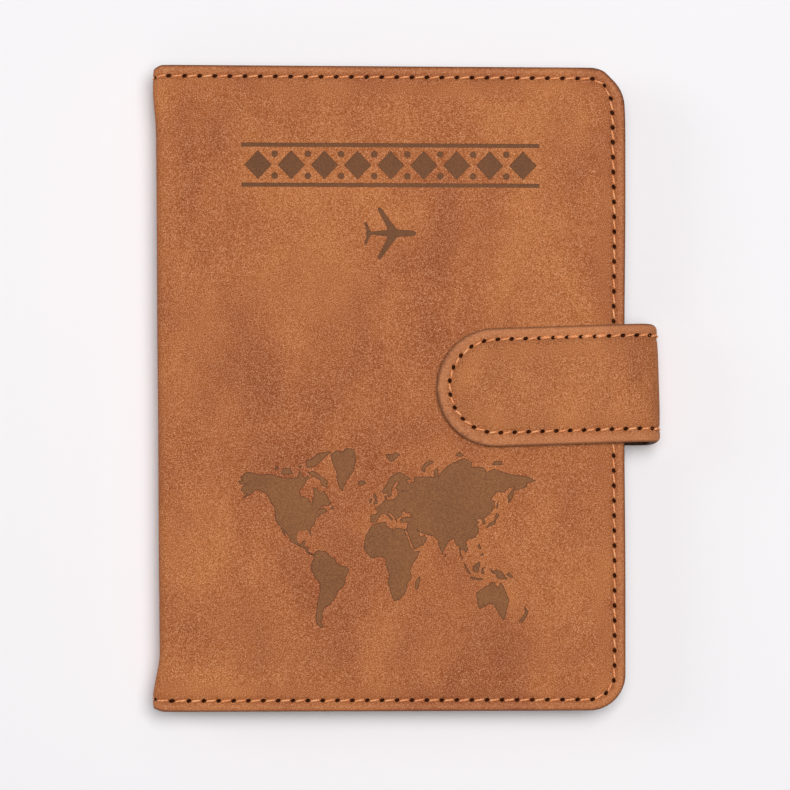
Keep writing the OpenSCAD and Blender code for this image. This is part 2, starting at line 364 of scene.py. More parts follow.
def leathercloth(name, dark, light, grain=1.0):
    """Brushed leathercloth: soft clouds of colour under a speckled, matt nap."""
    f = Finish(name, 0.78, 0.22)
    clouds = f.noise(24, detail=2.2, wander=0.8, place=f.turned(-40, (1, 0.62, 1)))
    mottle = f.noise(9, wander=0.4, place=f.turned(-35, (1, 0.75, 1)))
    colour = f.mix(f.ramp(clouds, (0.30, dark), (0.70, light)),
                   f.ramp(mottle, (0.30, dark), (0.70, light)), 0.35)
    nap = f.noise(NAP_MM, detail=1.5, rough=0.6)
    colour = f.mix(colour, srgb(98, 42, 14), f.spread(nap, 0.50, 0.26, 0, 0.80 * grain))
    colour = f.mix(colour, srgb(244, 186, 146), f.spread(nap, 0.50, 0.74, 0, 0.60 * grain))
    colour = f.tint(colour, "worn", srgb(206, 138, 96), 0.5)
    # Painted shade: darker in the sewn valleys along the stitching.
    colour = f.tint(colour, "painted_seam_shade", srgb(112, 62, 34), 0.4)
    # Dark at the cut edges: edge paint, and on the strap's edges also painted contact shadow.
    colour = f.tint(colour, "edge", srgb(72, 36, 18), 0.85)
    return f.done(colour, f.bump(nap, 0.09, 0.6 * grain), f.spread(nap, 0.3, 0.7, 0.72, 0.86))


def pressed_leather(name, shade):
    """The floor of the pressed motifs: darkened and smoothed by the hot die. The shade argument darkens it
    more: painted shade at the floors' rims, and a darker tone for the small motifs.
    """
    f = Finish(name, 0.62, 0.2)
    grain = f.noise(0.26, detail=1.5, rough=0.6)
    colour = f.mix(f.ramp(f.noise(12, detail=3), (0.3, srgb(114, 68, 32)), (0.7, srgb(138, 84, 42))),
                   f.ramp(grain, (0.3, srgb(84, 46, 20)), (0.7, srgb(170, 114, 68))), 0.45)
    return f.done(f.mix(colour, srgb(70, 36, 18), shade), f.bump(grain, 0.04, 0.4))


# Painted shade: the needle holes are cut blind and coloured near-black for the shade inside them.
def needle_hole():
    f = Finish("needle_hole", 0.95, 0.05)
    return f.done(f.ramp(f.noise(0.4), (0.35, srgb(30, 10, 3)), (0.7, srgb(74, 34, 16))))


def cut_edge():
    """Raw edge of the sheets, where the woven backing shows."""
    f = Finish("cut_edge", 0.85)
    layers = f.noise(0.5, detail=3, place=f.turned(0, (0.2, 0.2, 3)))
    colour = f.ramp(layers, (0.35, srgb(104, 64, 42)), (0.65, srgb(146, 98, 66)))
    return f.done(colour, f.bump(f.noise(0.25, detail=3), 0.1, 0.6))


def woven_lining(name, dark, light):
    f = Finish(name, 0.82)
    scale = 1 / (0.55 * MM) / (2 * math.pi) * 2
    weave = f.mix(f.bands("X", scale, 0.6), f.bands("Y", scale, 0.6), 0.5)
    colour = f.mix(f.ramp(weave, (0.25, dark), (0.75, light)),
                   f.ramp(f.noise(9, detail=3), (0.35, dark), (0.65, light)), 0.35)
    return f.done(colour, f.bump(weave, 0.06, 0.7))


def sewing_thread():
    """Two-ply polyester: dark lines spiral round the light orange thread, with painted highlights."""
    f = Finish("sewing_thread", 0.5)
    twist = f.bands("DIAGONAL", 1.6, place=f.node("ShaderNodeTexCoord").outputs["UV"])
    colour = f.ramp(twist, (0.15, srgb(204, 108, 52)), (0.6, srgb(250, 168, 108)))
    # Painted highlight: paler patches where the thread would glint.
    colour = f.mix(colour, srgb(255, 200, 146), f.spread(f.noise(1.3, detail=1), 0.45, 0.75, 0, 0.5))
    return f.done(colour, f.bump(twist, 0.06, 0.8))


def plain_core(name, dark, light, size_mm, depth_mm, roughness=0.9):
    f = Finish(name, roughness)
    specks = f.noise(size_mm, detail=4, rough=0.65)
    return f.done(f.ramp(specks, (0.3, dark), (0.7, light)), f.bump(specks, depth_mm, 0.6))


def plated(name, light, turn):
    f = Finish(name, 0.3, metallic=1.0)
    brushed = f.noise(0.8, detail=4, place=f.turned(turn, (1, 12, 1)))
    colour = f.ramp(brushed, (0.3, srgb(150, 152, 154)), (0.7, light))
    return f.done(colour, f.bump(brushed, 0.01, 0.4), f.spread(brushed, 0.2, 0.8, 0.24, 0.42))


COVER = leathercloth("cover_leathercloth", srgb(145, 70, 30), srgb(186, 110, 54))
POCKET = leathercloth("pocket_leathercloth", srgb(142, 74, 34), srgb(180, 108, 58), 0.9)
STRAP = leathercloth("strap_leathercloth", srgb(142, 71, 31), srgb(188, 113, 57))
PRESSED = pressed_leather("pressed_leather", 0.0)
# Painted shade at the rims of the pressed motifs' floors.
PRESSED_SHADE = pressed_leather("pressed_painted_shade", 0.65)
# A darker tone for the airliner and the band, which are cut as deep as the map.
PRESSED_DARKER = pressed_leather("pressed_darker", 0.42)
HOLE = needle_hole()
EDGE = cut_edge()
LINING = woven_lining("brown_lining", srgb(70, 42, 28), srgb(108, 70, 48))
STRAP_BACK = plain_core("dark_strap_lining", srgb(46, 25, 14), srgb(78, 47, 30), 0.6, 0.06, 0.8)
THREAD = sewing_thread()
BOARD = plain_core("grey_board", srgb(118, 115, 108), srgb(160, 157, 150), 0.8, 0.05)
FOAM = plain_core("foam_sheet", srgb(206, 200, 186), srgb(232, 228, 218), 0.5, 0.12)
STEEL = plated("zinc_steel", srgb(206, 208, 210), 15)
NICKEL = plated("nickel_magnet", srgb(222, 220, 212), 70)


# ------------ covers

HALF_Z = TOP_Z / 2
ARC_L = CREASE_R * math.pi / 2
FOLD_U = CREASE_X - ARC_L - (TOP_Z - CREASE_R - HALF_Z)   # the spine's middle line, laid flat


def edge_distance(u, y):
    """How far a point lies inside the cover's head, tail and fore-edge."""
    px, py = FORE_X - u, HEAD_Y - abs(y)
    if px < CORNER_R and py < CORNER_R:
        return CORNER_R - math.hypot(CORNER_R - px, CORNER_R - py)
    return min(px, py)


def relief(u, y):
    """Height of the leather against a flat cover: pinched at the seam, soft over the foam."""
    d = edge_distance(u, y)
    sewn = -0.30 * bell(d - SEAM_INSET, 0.6) - 0.16 * bell(d, 1.1)
    padded = -0.14 * (1 - smoothstep(3, 10, d))
    slack = -0.07 - 0.07 * noise.noise(Vector((u / 21, y / 17, 3.7)))
    return sewn + padded + slack


def settle(x, y):
    """Where sewing and wear have drawn a point of the covers: they aren't quite square."""
    reach = y / HEAD_Y
    y += reach * (0.02 - 0.0069 * x) if y > 0 else -reach * (0.0035 * x - 0.25)
    x -= (0.13 + 0.5 * reach) * smoothstep(-10, 50, -x)
    x += 0.25 * smoothstep(5, 45, abs(y)) * smoothstep(10, 50, x)
    x -= 0.5 * smoothstep(30, 60, y) * bell(x - 49, 1.6)
    slack = 0.30 * bell(math.hypot(x - 51.2, y - 65.8), 4.6)
    return x - slack, y - slack


def fold(u, y, w):
    """Lays a flat point of the front leather over the cover, the crease and half the spine."""
    s = CREASE_X - u
    head = y > 0
    flare = smoothstep(56, 67, y) * 0.75 if head else smoothstep(58, 69, -y) * 1.75
    trim = 1.1 if head else 0.8
    lift = relief(u, y) * smoothstep(-LEATHER_T, -LEATHER_T / 2, w)
    y -= math.copysign(trim * smoothstep(-0.5, ARC_L, s) * smoothstep(66, HEAD_Y, abs(y)), y)
    if s <= 0:
        x, z = u, TOP_Z + w + lift
    elif s < ARC_L:
        a = s / CREASE_R
        r = CREASE_R + w + lift
        x, z = CREASE_X - r * math.sin(a), TOP_Z - CREASE_R + r * math.cos(a)
    else:
        x, z = SPINE_X - w - lift, TOP_Z - CREASE_R - (s - ARC_L)
    x, y = settle(x, y)
    return x - flare * smoothstep(-3.5, ARC_L, s), y, z


def mirrored(place):
    """The same lay for the back cover, seen from below."""
    def below(u, y, w):
        x, y, z = place(u, y, w)
        return x, y, TOP_Z - z
    return below


def cover_lines():
    dense = steps(0, SEAM_BAND, SEAM_STEP)
    across = [FORE_X - d for d in dense]
    across += steps(CREASE_X, FORE_X - SEAM_BAND, 1.8) + [CREASE_X, CREASE_X - ARC_L]
    across += steps(CREASE_X - ARC_L, CREASE_X, 0.35) + steps(FOLD_U, CREASE_X - ARC_L, 1.4)
    along = [side * (HEAD_Y - d) for side in (1, -1) for d in dense]
    along += steps(SEAM_BAND - HEAD_Y, HEAD_Y - SEAM_BAND, 1.8)
    return across, along


def cover_corners(inset=0.0, sides=(1, -1)):
    r = CORNER_R - inset
    return [((FORE_X - CORNER_R, side * (HEAD_Y - CORNER_R)), r, (1, side)) for side in sides]


# The seam: a path along the head, round the corner and down the fore-edge, and back

PATH_R = CORNER_R - SEAM_INSET
HEAD_RUN = FORE_X - CORNER_R - FOLD_U
SEAM_L = 2 * HEAD_RUN + PATH_R * math.pi + 2 * (HEAD_Y - CORNER_R)


def seam_point(s):
    """Place and heading at a length s along the cover's seam."""
    if s > SEAM_L / 2:
        x, y, heading = seam_point(SEAM_L - s)
        return x, -y, -heading - math.pi
    if s < HEAD_RUN:
        return FOLD_U + s, HEAD_Y - SEAM_INSET, 0.0
    s -= HEAD_RUN
    if s < PATH_R * math.pi / 2:
        a = math.pi / 2 - s / PATH_R
        return (FORE_X - CORNER_R + PATH_R * math.cos(a), HEAD_Y - CORNER_R + PATH_R * math.sin(a),
                a - math.pi / 2)
    return FORE_X - SEAM_INSET, HEAD_Y - CORNER_R - (s - PATH_R * math.pi / 2), -math.pi / 2


def holes_along(point, length, pitch):
    """The needle holes of a row: place and heading, one at each end."""
    count = round(length / pitch)
    return [point(min(max(length * i / count, 0.01), length - 0.01)) for i in range(count + 1)]


def straight_row(start, end, pitch=PITCH):
    run = Vector(end) - Vector(start)
    heading = math.atan2(run.y, run.x)
    return holes_along(lambda s: (*(Vector(start) + run.normalized() * s), heading), run.length, pitch)


def hole_outline(x, y, heading, slant=0.35):
    """A needle hole, longer than wide and turned a little from the row."""
    outline = []
    for i in range(8):
        a = (i + 0.3) * math.pi / 4
        along, across = HOLE_L * math.cos(a), HOLE_W * math.sin(a)
        turn = heading + slant
        outline.append((x + along * math.cos(turn) - across * math.sin(turn),
                        y + along * math.sin(turn) + across * math.cos(turn)))
    return outline


# ------------ thread

def thread_run(length, lean, rise=0.09):
    """One stitch, drawn from hole to hole along X: it dives into both and leans across the row."""
    half = length / 2
    path = [(-half + 0.50, -lean, -0.75), (-half + 0.60, -lean, -0.25), (-half + 0.88, -0.85 * lean, rise),
            (-0.25 * half, -0.25 * lean, rise + 0.10), (0.3 * half, 0.35 * lean, rise + 0.09),
            (half - 0.88, 0.85 * lean, rise), (half - 0.60, lean, -0.25), (half - 0.50, lean, -0.75)]
    bm = bmesh.new()
    uv = bm.loops.layers.uv.new("thread")
    ring = bmesh.ops.create_circle(bm, cap_ends=False, segments=6, radius=THREAD_R)["verts"]
    bmesh.ops.rotate(bm, verts=ring, matrix=Matrix.Rotation(math.pi / 2, 3, "Y"))
    bmesh.ops.translate(bm, verts=ring, vec=path[0])
    edges = bm.edges[:]
    for a, b in zip(path, path[1:]):
        grown = bmesh.ops.extrude_edge_only(bm, edges=edges)["geom"]
        ring = [item for item in grown if isinstance(item, bmesh.types.BMVert)]
        edges = [item for item in grown if isinstance(item, bmesh.types.BMEdge)]
        bmesh.ops.translate(bm, verts=ring, vec=Vector(b) - Vector(a))
    bmesh.ops.holes_fill(bm, edges=[edge for edge in bm.edges if edge.is_boundary], sides=6)
    bmesh.ops.recalc_face_normals(bm, faces=bm.faces)
    for face in bm.faces:
        for loop in face.loops:
            round_at = math.atan2(loop.vert.co.z, loop.vert.co.y) / (2 * math.pi)
            loop[uv].uv = (loop.vert.co.x * 0.6, round_at)
    mesh = bpy.data.meshes.new("stitch")
    bm.to_mesh(mesh)
    bm.free()
    return mesh


def sew(name, rows, lift):
    """Thread through every row of holes; lift gives the leather's height at a flat point."""
    bm = bmesh.new()
    for row_index, holes in enumerate(rows):
        for a, b in zip(holes, holes[1:]):
            start, end = Vector(a[:2]), Vector(b[:2])
            run = end - start
            wobble = noise.noise(Vector((start.x * 3.1, start.y * 2.7, row_index)))
            mesh = thread_run(run.length, 0.17 + 0.06 * wobble)
            known = set(bm.verts)
            bm.from_mesh(mesh)
            fresh = [vert for vert in bm.verts if vert not in known]
            middle = (start + end) / 2
            turn = Matrix.Rotation(math.atan2(run.y, run.x) + 0.04 * wobble, 4, "Z")
            bmesh.ops.transform(bm, verts=fresh, matrix=Matrix.Translation(
                (middle.x, middle.y, lift(middle.x, middle.y))) @ turn)
            bpy.data.meshes.remove(mesh)
    return new_object(name, bm, THREAD)


def needle_holes(holes, depth=PANEL_HOLE_D):
    return cutter("needle_holes", [hole_outline(*hole) for hole in holes], -depth, 1, HOLE)


def wear(u, y, w):
    """Paler where the rim is rubbed."""
    return 0.5 * bell(edge_distance(u, y) - 1.0, 0.5) if w > -0.4 else 0.0


# Painted shade: darker along the seam's valley on the outer face.
def seam_shade(u, y, w):
    return 0.8 * bell(edge_distance(u, y) - SEAM_INSET, 0.7) if w > -0.4 else 0.0


def cover_leather(name, holes, motifs=()):
    across, along = cover_lines()
    bm = flat_slab(FOLD_U, FORE_X, -HEAD_Y, HEAD_Y, LEATHER_T, across, along, cover_corners(),
                   edge_r=0.2, square_left=True)
    piece = new_object(name, bm, COVER)
    carve(piece, needle_holes(holes, 0.85), *motifs)
    if motifs:
        # Painted shade where the map's floor meets its walls.
        paint_rim_shade(piece, PRESSED, PRESSED_SHADE, MOTIF_SHADE_W)
    mark(piece, "worn", wear)
    # Painted shade along the seam's valley.
    mark(piece, "painted_seam_shade", seam_shade)
    # Dark edge paint along the cut edges.
    mark(piece, "edge", lambda u, y, w: bell(edge_distance(u, y), 0.32))
    return piece


# ------------ pressed motifs

def airliner():
    """Plan view of an airliner flying towards the fore-edge, 11.8 mm long."""
    half = [(5.55, 0.0), (5.4, 0.35), (4.9, 0.6), (3.4, 0.72), (2.0, 0.76), (1.35, 0.95), (0.2, 2.4),
            (-2.0, 5.4), (-2.45, 5.75), (-2.85, 5.5), (-2.8, 5.0), (-1.75, 3.0), (-1.0, 1.5),
            (-0.8, 0.7), (-3.0, 0.5), (-4.1, 0.32), (-4.5, 0.65), (-5.3, 2.45), (-5.75, 2.45),
            (-5.8, 2.1), (-5.3, 0.65), (-5.5, 0.25), (-5.45, 0.0)]
    outline = half + [(x, -y) for x, y in reversed(half[1:-1])]
    return [(x, y + 34.15) for x, y in outline]


def border_band():
    """An ornamental band: a rule above and below a row of lozenges and beads."""
    low, high, left, right = 44.3, 54.0, -32.6, 32.6
    rule, wide, tall, bead_r, count = 0.9, 3.0, 3.2, 0.75, 9
    shapes = [[(left, y), (right, y), (right, y + rule), (left, y + rule)] for y in (low, high - rule)]
    step = (right - left) / count
    middle = (low + high) / 2
    for i in range(count):
        x = left + (i + 0.5) * step
        shapes.append([(x - wide, middle), (x, middle - tall), (x + wide, middle), (x, middle + tall)])
        if i:
            for y in (middle - 2.4, middle + 2.4):
                shapes.append([(x - step / 2 + bead_r * math.cos(a), y + bead_r * math.sin(a))
                               for a in (k * math.pi / 5 for k in range(10))])
    return shapes


# Coasts in whole degrees or so: longitude, latitude
AMERICAS = [
    (-168, 66), (-163, 66.5), (-166, 68.3), (-157, 71.3), (-141, 69.7), (-128, 70), (-115, 68),
    (-97, 68), (-94, 72), (-91, 69.5), (-87, 68), (-85, 69.5), (-81.5, 68), (-86, 66.5), (-88, 64),
    (-94.5, 60), (-92.5, 57), (-86, 55.7), (-82.2, 55), (-82, 53), (-79.5, 51.3), (-79, 54.5),
    (-76.7, 57), (-78, 62.3), (-73, 62), (-69.5, 58.8), (-64.5, 60.3), (-61.5, 57), (-56, 52.5),
    (-60, 50), (-66.5, 50.2), (-70, 47.5), (-65, 48.8), (-61, 45.8), (-66, 43.7), (-70.5, 43.2),
    (-70, 41.7), (-74, 40.6), (-76, 37), (-75.7, 35.3), (-81, 31.8), (-80.2, 25.5), (-81.2, 25.2),
    (-84, 30), (-89, 30.2), (-94.5, 29.5), (-97.3, 27.5), (-97.8, 22.5), (-94.5, 18.2), (-91.5, 18.6),
    (-90.3, 21), (-87, 21.4), (-88.8, 15.8), (-83.3, 15), (-83.7, 11), (-81.5, 9), (-79.6, 9.5),
    (-77.2, 8.5), (-75, 10.8), (-71.7, 12.3), (-62, 10.7), (-57, 6), (-51.5, 4.3), (-50, 0.5),
    (-44.5, -2.5), (-40, -2.8), (-35.3, -5.3), (-35, -8.5), (-39, -13), (-39, -17.5), (-41, -22),
    (-48.5, -26), (-48.8, -28.5), (-53, -33.5), (-56.8, -36.5), (-58, -38.3), (-62.2, -39), (-65, -41),
    (-67.5, -46), (-65.8, -48), (-69, -51), (-65.2, -54.8), (-69, -55.4), (-74, -52.5), (-75.5, -49),
    (-73.5, -37), (-70.3, -27), (-70.3, -18.5), (-76, -14), (-81.2, -5), (-80, 0.5), (-77.5, 3.8),
    (-77.8, 7.2), (-82.8, 8), (-85.7, 10.2), (-87.5, 13), (-95, 16), (-105.4, 20), (-106.5, 23.5),
    (-112.5, 29.5), (-111, 25.5), (-109.6, 23), (-115, 28), (-117, 32.5), (-122.5, 37.5), (-124.2, 40.4),
    (-124.6, 48.3), (-128, 51.5), (-134, 58.2), (-140, 59.8), (-146, 60.8), (-153, 58), (-164.5, 54.6),
    (-158, 58.2), (-162, 58.8), (-165, 61), (-161, 64.3), (-166, 64.5)]
OLD_WORLD = [
    (26, 71), (31, 70), (41, 67), (34, 66.5), (38, 64.5), (44, 66), (44, 68.5), (54, 68.5), (68, 68.5),
    (67, 72), (73, 73), (73, 68.5), (78, 72), (87, 75), (104, 77.7), (113, 76), (113, 73.5), (127, 73.5),
    (131, 71), (140, 72.5), (160, 69.8), (181, 68.5), (190, 66), (179, 64.5), (179, 62.3), (164, 60),
    (162, 55.5), (157, 51), (156, 57), (164, 62.5), (157, 61.5), (152, 59), (143, 59.2), (136, 54.5),
    (141, 53), (140, 48.5), (135.5, 44), (128, 40), (129.5, 36), (126.5, 34.5), (125, 39.5), (118, 39),
    (122.5, 37), (119.5, 35), (122, 31), (121, 28), (117, 23.5), (108, 21.7), (105.8, 19), (109, 13),
    (105, 8.7), (105, 10.5), (100, 13), (99.5, 10), (103.5, 1.3), (98.5, 8), (97.5, 16.5), (94.3, 16),
    (91.5, 22.5), (87, 21.5), (80, 13), (77.5, 8), (73, 17), (72.7, 21), (67, 24.8), (57, 26.8),
    (51.5, 27.8), (48, 30), (51.5, 24.3), (56.2, 26.2), (59.8, 22.4), (55, 17), (45, 12.8), (43.2, 13),
    (39, 21), (34.9, 29.5), (32.6, 29.9), (35.5, 24), (37.3, 21), (39.5, 15.5), (44.5, 10.6),
    (51.3, 11.8), (47, 4), (42, -1), (39, -7), (40.5, -11), (40.5, -15), (35, -20), (35.5, -24),
    (32, -29), (25.5, -34), (20, -34.8), (18.3, -33.5), (15, -26.5), (11.8, -17.5), (13.7, -12), (9, -1),
    (9.5, 3.5), (4.3, 6.3), (-7.5, 4.4), (-13.3, 9), (-17.3, 14.7), (-16.3, 19), (-14.5, 26), (-9.5, 32),
    (-6, 35.5), (3, 36.8), (10, 37.3), (11, 34), (19.5, 30.4), (20.5, 32.8), (30, 31.4), (34.3, 31.3),
    (36, 36.8), (28, 36.7), (26.3, 39), (30, 41.2), (41.5, 41.6), (37.5, 44.7), (33.5, 44.5), (31, 46.5),
    (28.2, 42), (26, 40.8), (23.5, 40.2), (22.7, 36.5), (19.4, 41.5), (13.7, 45.5), (13.8, 43),
    (18.4, 40), (16.5, 38), (12.3, 42), (7.5, 43.8), (3.2, 43), (-0.3, 39), (-2, 36.8), (-9, 37),
    (-8.7, 43.2), (-1.8, 43.4), (-1.2, 46), (-4.6, 48.3), (-1.4, 48.7), (1.6, 50.4), (4.3, 51.7),
    (8.5, 53.8), (8.2, 57), (10.5, 57.5), (10.8, 54.2), (19, 54.5), (24, 57.3), (24, 59.2), (30, 59.9),
    (22.8, 60), (21.5, 62.5), (25.3, 65), (22, 65.7), (17.3, 61.5), (16.5, 57), (12.8, 55.5), (11, 59),
    (7, 58), (5, 60), (11, 64.5), (14.5, 68), (20, 70)]
ISLANDS = [
    [(-57, 79.3), (-50, 81), (-43, 80.4), (-38, 82), (-28, 81.5), (-26, 77.5), (-29, 71.5), (-37, 67),
     (-42.5, 60), (-46, 61.5), (-49.5, 67.5), (-50, 71), (-55, 76)],  # Greenland
    [(-84.5, 70.8), (-78, 71.6), (-70, 69.6), (-60.5, 66.3), (-61, 61.8), (-67, 63.3), (-70, 66.8),
     (-78, 68.6)],  # Baffin
    [(-87, 76.5), (-79, 77.8), (-72, 79.8), (-62, 80.6), (-56, 80.4), (-63, 78.2), (-70, 75.8),
     (-76, 73.8), (-85, 73)],  # Ellesmere
    [(-117, 70), (-114, 73), (-106, 73.3), (-101.5, 70), (-112, 69.6)],  # Victoria
    [(-125, 72.5), (-121, 74.4), (-119, 73.5), (-121.5, 72)],  # Banks
    [(-97, 73.6), (-92, 74.6), (-92.5, 73.3)],
    [(-57, 47.9), (-53, 46.8), (-53, 48.8), (-55, 50)],  # Newfoundland
    [(-24, 65.5), (-22, 66.4), (-16, 66.4), (-13.7, 65), (-18.5, 63.4), (-22.5, 64)],
    [(-5.5, 50.6), (-0.3, 51.2), (-0.3, 53), (-2, 57.6), (-5, 58.6), (-5.7, 56), (-3, 54), (-5, 52)],
    [(-10, 51.6), (-7.3, 52.3), (-7, 54.8), (-8, 55.2), (-10, 54)],  # Ireland
    [(9, 79.5), (12, 77.5), (16, 75.8), (20, 77), (27, 79.2), (22, 80.3), (16, 79.3)],  # Svalbard
    [(52, 71.5), (57, 70.9), (57, 73), (68, 76), (62, 76.8), (54, 74.5)],  # Novaya Zemlya
    [(93, 79), (99, 78.2), (104, 78.8), (98, 80.5)],
    [(137, 74.6), (143, 74.3), (150, 74.6), (149, 76.4), (140, 76.3)],
    [(142.5, 47), (145, 49.5), (144.5, 53), (142.4, 50)],  # Sakhalin
    [(131.3, 31.3), (133, 33), (140.5, 34.9), (143, 39.5), (146.3, 43), (142.5, 44.6),
     (141, 41.8), (139.8, 38.5), (133.5, 35.8), (130.8, 33)],  # Japan
    [(120, 16), (122, 18.5), (123, 16), (124.5, 12.8), (120.7, 13.8)],  # Luzon
    [(122.5, 7), (127.3, 6.5), (126, 10)],  # Mindanao
    [(50, -12.5), (51.4, -15.8), (48, -25), (45, -24.5), (45.3, -17.5)],  # Madagascar
    [(80.5, 9), (82.8, 7.3), (81, 5)],  # Sri Lanka
]
SOUTH_SEAS = [
    [(109, 1.5), (117, 7), (119, 5), (116, -4), (110.3, -2.8)],  # Borneo
    [(98.5, 5.6), (101, 3.8), (105, -1.5), (108, -6.2), (104.3, -4.5), (100.6, 1)],
    [(105.3, -7.7), (110.5, -7.5), (114.5, -8.8), (123, -9.6), (119, -11.4), (108, -10)],
    [(119.8, -5.5), (120, 0.5), (126, 1.8), (122.3, -0.5), (123.5, -5)],  # Sulawesi
    [(130, 0.2), (134.5, -2.4), (138, -0.6), (144.5, -3), (151.5, -10.5), (143, -10),
     (138, -8.8), (137.5, -5.8), (132, -4)],  # New Guinea
    [(149.5, -5.7), (153.2, -3.3), (158, -8), (155, -9.4)],
    [(113.8, -22.5), (115.7, -33), (117.5, -36), (123.5, -34.5), (129, -31.7), (134.5, -33),
     (140, -39), (145.5, -44.5), (148.5, -43.5), (150, -37.4), (153.3, -29), (149.5, -22),
     (145.3, -15), (142.5, -12.9), (140.5, -17.6), (136, -15), (136.8, -13.2), (131, -12.7),
     (129.5, -15), (122, -18)],  # Australia
    [(170.8, -33.5), (176.4, -37.8), (174, -42), (169, -46.8), (164, -46), (169, -42), (172, -38.5)],
]
SOUTH_SEAS_SHIFT = (4.5, -5.5)        # the pressed map sets them a little apart, in degrees
MAP_X, MAP_Y = -2.9, -38.4            # where longitude and latitude 0 lie on the cover
MAP_WIDE, MAP_TALL = 10.5, 13.2       # millimetres to one radian, across and at the equator upwards


def on_map(lon, lat):
    """Miller's projection, stretched a little in height, set on the lower half of the cover."""
    x = MAP_X + MAP_WIDE * math.radians(lon)
    y = MAP_Y + MAP_TALL * 1.25 * math.log(math.tan(math.pi / 4 + 0.4 * math.radians(lat)))
    return x, y


def motif_cutters():
    east, north = SOUTH_SEAS_SHIFT
    moved = [[(lon + east, lat + north) for lon, lat in coast] for coast in SOUTH_SEAS]
    coasts = [[on_map(*place) for place in coast]
              for coast in [AMERICAS, OLD_WORLD] + ISLANDS + moved]
    return [cutter("map", coasts, -MOTIF_D, 1.0, PRESSED),
            cutter("airliner", [airliner()], -MOTIF_D, 1.0, PRESSED_DARKER),
            cutter("band", border_band(), -MOTIF_D, 1.0, PRESSED_DARKER)]


# ------------ front and back leather

cover_row = holes_along(seam_point, SEAM_L, PITCH)
inner_row = [hole for hole in cover_row if hole[0] > CREASE_X + 2.5]     # where it shows inside
tongue_rows = [straight_row((x, TONGUE_Y - 10.7), (x, TONGUE_Y + 10.7), STRAP_PITCH)
               for x in (FORE_X - 6, tongue_low.x + 2.5)]

front_leather = cover_leather("front_leather", cover_row[1:-1], motif_cutters())
shape(front_leather, fold)
back_leather = cover_leather("back_leather", cover_row[1:-1] + tongue_rows[0] + tongue_rows[1])
shape(back_leather, mirrored(fold), flip=True)


def in_seam(u, y, z, sink=0.0):
    """The lay for thread, which sew has already set on the leather's relief."""
    return fold(u, y, z - relief(u, y) - sink)


front_thread = sew("front_thread", [cover_row], relief)
shape(front_thread, in_seam, sharp=80)
back_thread = sew("back_thread", [cover_row], relief)
shape(back_thread, mirrored(in_seam), flip=True, sharp=80)
tongue_thread = sew("tongue_thread", tongue_rows, relief)
shape(tongue_thread, mirrored(lambda u, y, z: in_seam(u, y, z, 0.2)), flip=True, sharp=80)
belongs(tongue_thread, "back_cover", "thread", "tongue_stitches")

FRONT_CREASE = ("spine", "front_cover", crossing(SPINE_X, TOP_Z - CREASE_R, CREASE_X, TOP_Z))
BACK_CREASE = ("back_cover", "spine", crossing(CREASE_X, 0, SPINE_X, CREASE_R))
for piece, (near, far, ends), slot, nodes in (
        (front_leather, FRONT_CREASE, "cover_leather", ("front_skin", "spine_skin")),
        (front_thread, FRONT_CREASE, "thread", ("front_stitches",)),
        (back_leather, BACK_CREASE, "cover_leather", ("back_skin",)),
        (back_thread, BACK_CREASE, "thread", ("back_stitches",))):
    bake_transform(piece)
    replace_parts(piece, *nodes)


# ------------ rim cores

LINING_INSET = 0.1                  # how far the lining's edge lies inside the leather's
RIM_W = 3.85


def rim_core(name, body, low_z, high_z):
    """The backing that fills the sewn rim between the leather and the lining."""
    bm = bmesh.new()
    left, right, head = CREASE_X + 0.3, FORE_X - LINING_INSET, HEAD_Y - LINING_INSET
    outline = [(left, -head)]
    for side, start in ((-1, -90), (1, 0)):
        for a in (math.radians(start + 7.5 * i) for i in range(13)):
            outline.append((right - CORNER_R + CORNER_R * math.cos(a),
                            side * (head - CORNER_R) + CORNER_R * math.sin(a)))
    outline.append((left, head))
    face = bm.faces.new([bm.verts.new((x, y, high_z)) for x, y in outline])
    bmesh.ops.inset_region(bm, faces=[face], thickness=RIM_W, use_boundary=True, use_even_offset=True)
    bmesh.ops.delete(bm, geom=[face], context="FACES")
    grow(bm, bm.faces[:], (0, 0, low_z - high_z))
    bmesh.ops.recalc_face_normals(bm, faces=bm.faces)
    core = new_object(name, bm, EDGE)
    shape(core, lambda x, y, z: (*settle(x, y), z))
    belongs(core, body, "cover_leather")


rim_core("front_rim_core", "front_cover", lining_high.z, TOP_Z - LEATHER_T)
rim_core("back_rim_core", "back_cover", LEATHER_T, TOP_Z - lining_high.z)


# ------------ linings

INNER_R = 1.0
INNER_X = SPINE_X + 1.9                       # the lining's face on the spine
INNER_CX = INNER_X + INNER_R
INNER_CZ = lining_low.z - INNER_R
INNER_ARC = INNER_R * math.pi / 2
INNER_FOLD_U = INNER_CX - INNER_ARC - (INNER_CZ - HALF_Z)


def inner_fold(u, y, w):
    """Lays a flat point of the front lining inside the cover and half the spine; w is into the cover."""
    s = INNER_CX - u
    w = -w
    if s <= 0:
        x, z = u, lining_low.z + w
    elif s < INNER_ARC:
        a = s / INNER_R
        x, z = INNER_CX - (INNER_R + w) * math.sin(a), INNER_CZ + (INNER_R + w) * math.cos(a)
    else:
        x, z = INNER_X - w, INNER_CZ - (s - INNER_ARC)
    settled_x, y = settle(x, y)
    return x + (settled_x - x) * (1 - smoothstep(0, INNER_ARC, s)), y, z


